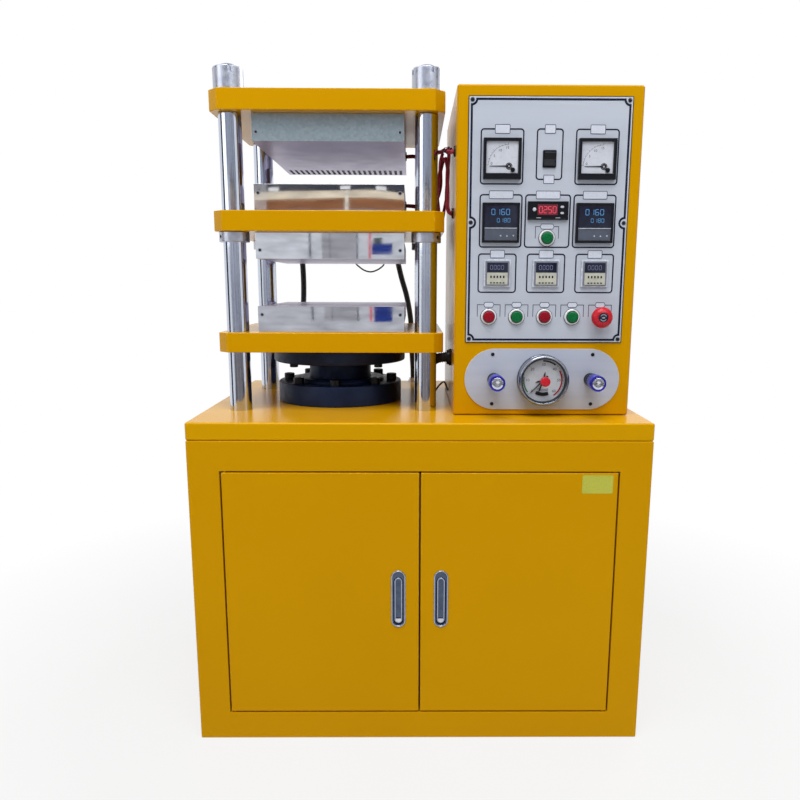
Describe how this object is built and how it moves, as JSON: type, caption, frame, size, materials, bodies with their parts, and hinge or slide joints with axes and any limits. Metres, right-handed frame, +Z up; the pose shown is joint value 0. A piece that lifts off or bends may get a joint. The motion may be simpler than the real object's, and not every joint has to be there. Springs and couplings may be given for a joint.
{
  "type": "rubber vulcanizing press",
  "caption": "Laboratory platen press on a steel cabinet: chromed columns, heated and cooled platens closed by a ram from below, and a control tower with meters, timers, buttons and a gauge.",
  "frame": {"origin": "middle of the cabinet's underside, on the floor", "axes": "+Z up, -Y towards the front with the doors and the controls, +X to the right as seen from the front"},
  "size_m": [0.9, 0.612, 1.3434],
  "materials": {
    "yellow_paint": "gloss",
    "chrome": "polished",
    "zinc": "zinc plated",
    "polished_steel": "polished",
    "galvanised_steel": "galvanised",
    "blackened_steel": "blackened",
    "panel_aluminium": "fine brushed",
    "plate_aluminium": "brushed",
    "lock_steel": "satin",
    "black_plastic": "satin",
    "pale_plastic": "satin",
    "red_plastic": "gloss",
    "green_plastic": "gloss",
    "blue_anodised": "anodised",
    "black_rubber": "matt",
    "red_wire": "woven sleeve",
    "grey_enamel": "satin"
  },
  "bodies": {
    "frame": {"cabinet_body": "yellow_paint", "bench_top": "yellow_paint", "front_left_column": "chrome", "front_right_column": "chrome", "back_left_column": "chrome", "back_right_column": "chrome", "front_left_nut": "zinc", "front_right_nut": "zinc", "back_left_nut": "zinc", "back_right_nut": "zinc", "front_left_collar": "zinc", "front_right_collar": "zinc", "back_left_collar": "zinc", "back_right_collar": "zinc", "top_beam": "yellow_paint", "upper_platen": "galvanised_steel", "cylinder": "blackened_steel", "hydraulic_power_unit": "grey_enamel", "control_tower": "yellow_paint", "control_panel": "panel_aluminium", "valve_plate": "plate_aluminium", "left_ammeter": "black_plastic", "right_ammeter": "black_plastic", "left_temperature_controller": "black_plastic", "right_temperature_controller": "black_plastic", "cooling_controller": "black_plastic", "left_timer": "pale_plastic", "middle_timer": "pale_plastic", "right_timer": "pale_plastic", "pressure_gauge": "chrome", "upper_heater_wires": "red_wire", "middle_heater_wires": "red_wire", "supply_hose": "black_rubber", "wiring_conduit": "black_rubber"},
    "middle": {"middle_beam": "yellow_paint", "middle_upper_platen": "polished_steel", "middle_lower_platen": "polished_steel", "link_hose": "black_rubber"},
    "ram": {"ram": "blackened_steel", "moving_beam": "yellow_paint", "lower_platen": "polished_steel"},
    "left_door": {"left_door": "yellow_paint", "left_lock_housing": "lock_steel"},
    "right_door": {"right_door": "yellow_paint", "right_lock_housing": "lock_steel"},
    "left_lever": {"left_lock_lever": "lock_steel"},
    "right_lever": {"right_lock_lever": "lock_steel"},
    "left_needle": {"left_ammeter_needle": "black_plastic"},
    "right_needle": {"right_ammeter_needle": "black_plastic"},
    "switch": {"main_switch": "black_plastic"},
    "heating_stop": {"heating_stop_button": "red_plastic"},
    "heating_start": {"heating_start_button": "green_plastic"},
    "press_stop": {"press_stop_button": "red_plastic"},
    "press_start": {"press_start_button": "green_plastic"},
    "cooling": {"cooling_button": "green_plastic"},
    "stop": {"emergency_stop": "red_plastic"},
    "pointer": {"gauge_pointer": "black_plastic"},
    "setting_knob": {"gauge_setting_knob": "red_plastic"},
    "pressure_valve": {"pressure_valve_knob": "blue_anodised"},
    "return_valve": {"return_valve_knob": "blue_anodised"}
  },
  "joints": [
    {"name": "middle_slide", "type": "slide", "parent": "frame", "child": "middle", "axis": [0, 0, 1], "range_m": [0, 0.08], "deforming": ["middle_heater_wires", "supply_hose"]},
    {"name": "ram_slide", "type": "slide", "parent": "middle", "child": "ram", "axis": [0, 0, 1], "range_m": [0, 0.094], "deforming": ["link_hose"]},
    {"name": "left_door_hinge", "type": "hinge", "parent": "frame", "child": "left_door", "pos_m": [-0.379, -0.299, 0.3], "axis": [0, 0, -1], "range_deg": [0, 105]},
    {"name": "right_door_hinge", "type": "hinge", "parent": "frame", "child": "right_door", "pos_m": [0.379, -0.299, 0.3], "axis": [0, 0, 1], "range_deg": [0, 105]},
    {"name": "left_lever_pivot", "type": "hinge", "parent": "left_door", "child": "left_lever", "pos_m": [-0.0425, -0.299, 0.3425], "axis": [-1, 0, 0], "range_deg": [0, 60]},
    {"name": "right_lever_pivot", "type": "hinge", "parent": "right_door", "child": "right_lever", "pos_m": [0.0425, -0.299, 0.3425], "axis": [-1, 0, 0], "range_deg": [0, 60]},
    {"name": "left_needle_pivot", "type": "hinge", "parent": "frame", "child": "left_needle", "pos_m": [0.1675, -0.2243, 1.1468], "axis": [0, 1, 0], "range_deg": [0, 90], "stiffness_Nm_per_rad": 0.002},
    {"name": "right_needle_pivot", "type": "hinge", "parent": "frame", "child": "right_needle", "pos_m": [0.3485, -0.2243, 1.1468], "axis": [0, 1, 0], "range_deg": [0, 90], "stiffness_Nm_per_rad": 0.002},
    {"name": "main_switch_rock", "type": "hinge", "parent": "frame", "child": "switch", "pos_m": [0.245, -0.2203, 1.1608], "axis": [-1, 0, 0], "range_deg": [0, 20]},
    {"name": "heating_stop_push", "type": "slide", "parent": "frame", "child": "heating_stop", "axis": [0, 1, 0], "range_m": [0, 0.003], "stiffness_N_per_m": 500},
    {"name": "heating_start_push", "type": "slide", "parent": "frame", "child": "heating_start", "axis": [0, 1, 0], "range_m": [0, 0.003], "stiffness_N_per_m": 500},
    {"name": "press_stop_push", "type": "slide", "parent": "frame", "child": "press_stop", "axis": [0, 1, 0], "range_m": [0, 0.003], "stiffness_N_per_m": 500},
    {"name": "press_start_push", "type": "slide", "parent": "frame", "child": "press_start", "axis": [0, 1, 0], "range_m": [0, 0.003], "stiffness_N_per_m": 500},
    {"name": "cooling_push", "type": "slide", "parent": "frame", "child": "cooling", "axis": [0, 1, 0], "range_m": [0, 0.003], "stiffness_N_per_m": 500},
    {"name": "emergency_stop_push", "type": "slide", "parent": "frame", "child": "stop", "axis": [0, 1, 0], "range_m": [0, 0.0035]},
    {"name": "gauge_pointer_pivot", "type": "hinge", "parent": "frame", "child": "pointer", "pos_m": [0.245, -0.2363, 0.7378], "axis": [0, 1, 0], "range_deg": [0, 270], "stiffness_Nm_per_rad": 0.001},
    {"name": "gauge_knob_turn", "type": "hinge", "parent": "frame", "child": "setting_knob", "pos_m": [0.245, -0.26, 0.7378], "axis": [0, 1, 0], "range_deg": [-135, 135]},
    {"name": "pressure_valve_turn", "type": "hinge", "parent": "frame", "child": "pressure_valve", "pos_m": [0.148, -0.25, 0.7378], "axis": [0, 1, 0], "range_deg": [-720, 0]},
    {"name": "return_valve_turn", "type": "hinge", "parent": "frame", "child": "return_valve", "pos_m": [0.342, -0.25, 0.7378], "axis": [0, 1, 0], "range_deg": [-720, 0]}
  ]
}
